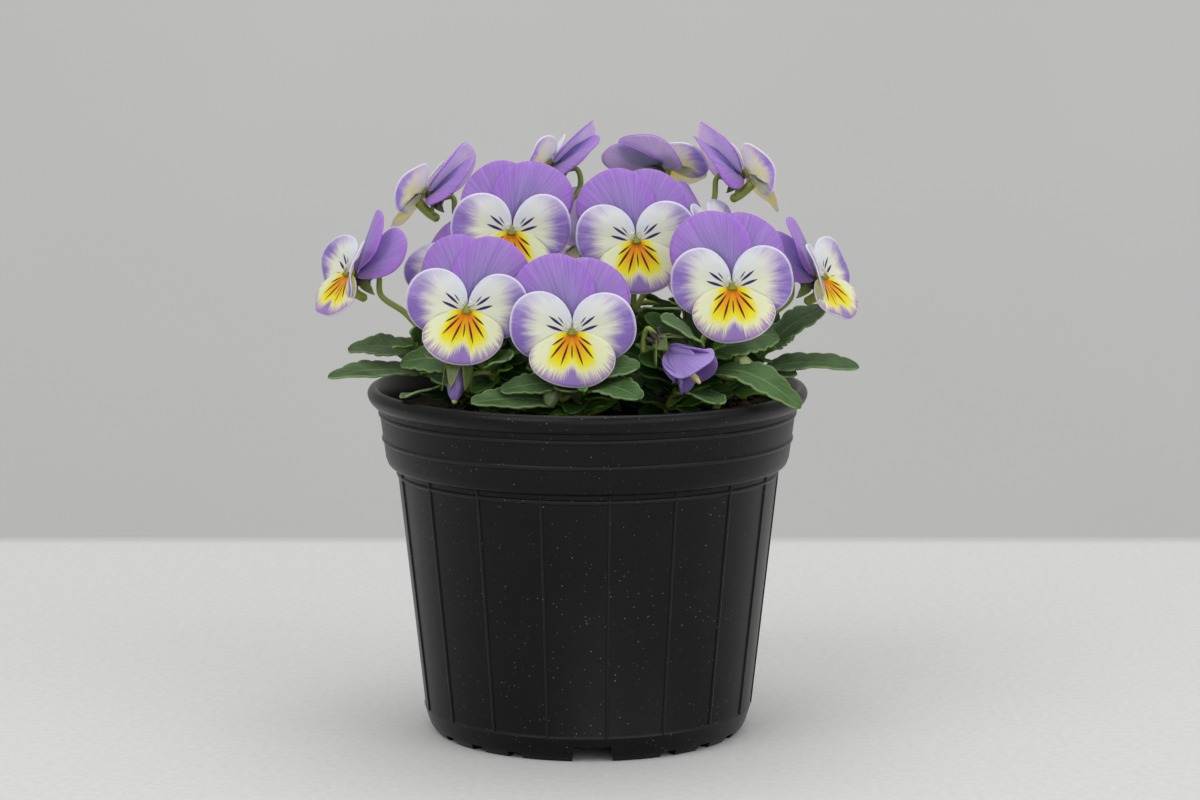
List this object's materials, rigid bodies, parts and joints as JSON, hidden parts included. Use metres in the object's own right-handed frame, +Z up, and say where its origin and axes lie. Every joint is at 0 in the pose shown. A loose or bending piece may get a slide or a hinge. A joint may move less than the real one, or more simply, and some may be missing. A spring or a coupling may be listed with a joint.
{
  "type": "potted viola",
  "caption": "Viola in bloom in a round ribbed nursery pot, with toothed leaves and two-tone violet and cream flowers.",
  "frame": {"origin": "centre of the pot's base on the ground, on the pot's axis, within a millimetre of the centre of the object's box", "axes": "+Z up, -Y to the front of the plant that the picture shows, +X to its right"},
  "size_m": [0.1496, 0.1221, 0.1655],
  "materials": {
    "black_polypropylene": "fine-grained black moulded polypropylene",
    "potting_soil": "matte dark peat soil",
    "viola_green": "matte living leaf and stem",
    "violet_petal": "soft velvety violet petal",
    "cream_petal": "soft cream petal with violet edges and a yellow throat"
  },
  "bodies": {
    "root": {"pot": "black_polypropylene", "potting_soil": "potting_soil", "bloom_01_upper_petals": "violet_petal", "bloom_01_face_petals": "cream_petal", "bloom_02_upper_petals": "violet_petal", "bloom_02_face_petals": "cream_petal", "bloom_03_upper_petals": "violet_petal", "bloom_03_face_petals": "cream_petal", "bloom_04_upper_petals": "violet_petal", "bloom_04_face_petals": "cream_petal", "bloom_05_upper_petals": "violet_petal", "bloom_05_face_petals": "cream_petal", "bloom_06_upper_petals": "violet_petal", "bloom_06_face_petals": "cream_petal", "bloom_07_upper_petals": "violet_petal", "bloom_07_face_petals": "cream_petal", "bloom_08_upper_petals": "violet_petal", "bloom_08_face_petals": "cream_petal", "bloom_09_upper_petals": "violet_petal", "bloom_09_face_petals": "cream_petal", "bloom_10_upper_petals": "violet_petal", "bloom_10_face_petals": "cream_petal", "bloom_11_upper_petals": "violet_petal", "bloom_11_face_petals": "cream_petal", "bloom_12_upper_petals": "violet_petal", "bloom_12_face_petals": "cream_petal", "bloom_13_upper_petals": "violet_petal", "bloom_13_face_petals": "cream_petal", "bloom_14_upper_petals": "violet_petal", "bloom_14_face_petals": "cream_petal", "bloom_15_upper_petals": "violet_petal", "bloom_15_face_petals": "cream_petal", "bloom_16_upper_petals": "violet_petal", "bloom_16_face_petals": "cream_petal", "opening_bud": "violet_petal", "violet_bud": "violet_petal", "shoot_front": "viola_green", "shoot_front_left": "viola_green", "shoot_front_right": "viola_green", "shoot_middle": "viola_green", "shoot_middle_left": "viola_green", "shoot_left": "viola_green", "shoot_right": "viola_green", "shoot_back_left": "viola_green", "shoot_back_right": "viola_green", "shoot_back": "viola_green"}
  },
  "joints": []
}
